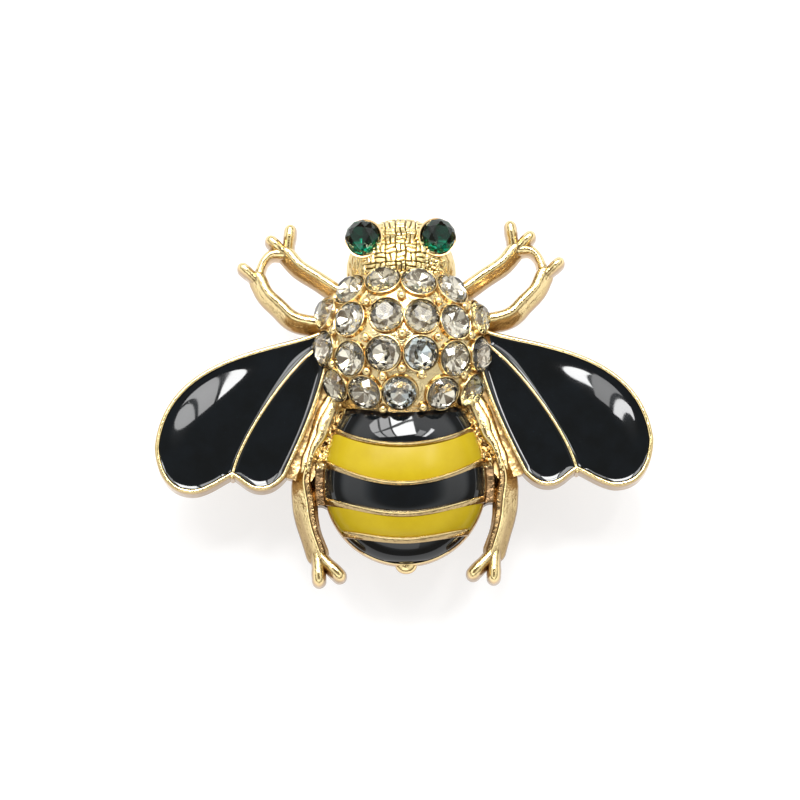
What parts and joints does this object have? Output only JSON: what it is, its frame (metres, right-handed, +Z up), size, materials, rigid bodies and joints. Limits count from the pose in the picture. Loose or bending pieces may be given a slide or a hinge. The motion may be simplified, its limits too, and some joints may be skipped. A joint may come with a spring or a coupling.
{
  "type": "insect brooch",
  "caption": "Cast gold bee brooch with domed thorax of clear round stones, green eyes, black and yellow enamel, on a bar pin.",
  "frame": {"origin": "middle of the brooch's box, on the surface that its pin blocks rest on", "axes": "+Z up out of the face, +Y towards the head, +X to the right seen from the face"},
  "size_m": [0.045, 0.0338, 0.0147],
  "materials": {
    "gold_plate": "polished light gold plate",
    "pin_metal": "plain plated metal, light wear",
    "clear_glass": "clear cut glass with a silvered back",
    "green_glass": "dark green cut glass with a silvered back",
    "black_enamel": "glossy black enamel",
    "yellow_enamel": "glossy yellow enamel"
  },
  "bodies": {
    "root": {"casting": "gold_plate", "pin_back": "pin_metal", "eye_left": "green_glass", "eye_right": "green_glass", "crystal_01": "clear_glass", "crystal_02": "clear_glass", "crystal_03": "clear_glass", "crystal_04": "clear_glass", "crystal_05": "clear_glass", "crystal_06": "clear_glass", "crystal_07": "clear_glass", "crystal_08": "clear_glass", "crystal_09": "clear_glass", "crystal_10": "clear_glass", "crystal_11": "clear_glass", "crystal_12": "clear_glass", "crystal_13": "clear_glass", "crystal_14": "clear_glass", "crystal_15": "clear_glass", "crystal_16": "clear_glass", "crystal_17": "clear_glass", "crystal_18": "clear_glass", "crystal_19": "clear_glass", "crystal_20": "clear_glass", "crystal_21": "clear_glass", "enamel_forewing_left": "black_enamel", "enamel_forewing_right": "black_enamel", "enamel_hindwing_left": "black_enamel", "enamel_hindwing_right": "black_enamel", "enamel_band_1": "black_enamel", "enamel_band_2": "yellow_enamel", "enamel_band_3": "black_enamel", "enamel_band_4": "yellow_enamel", "enamel_band_5": "black_enamel"}
  },
  "joints": []
}
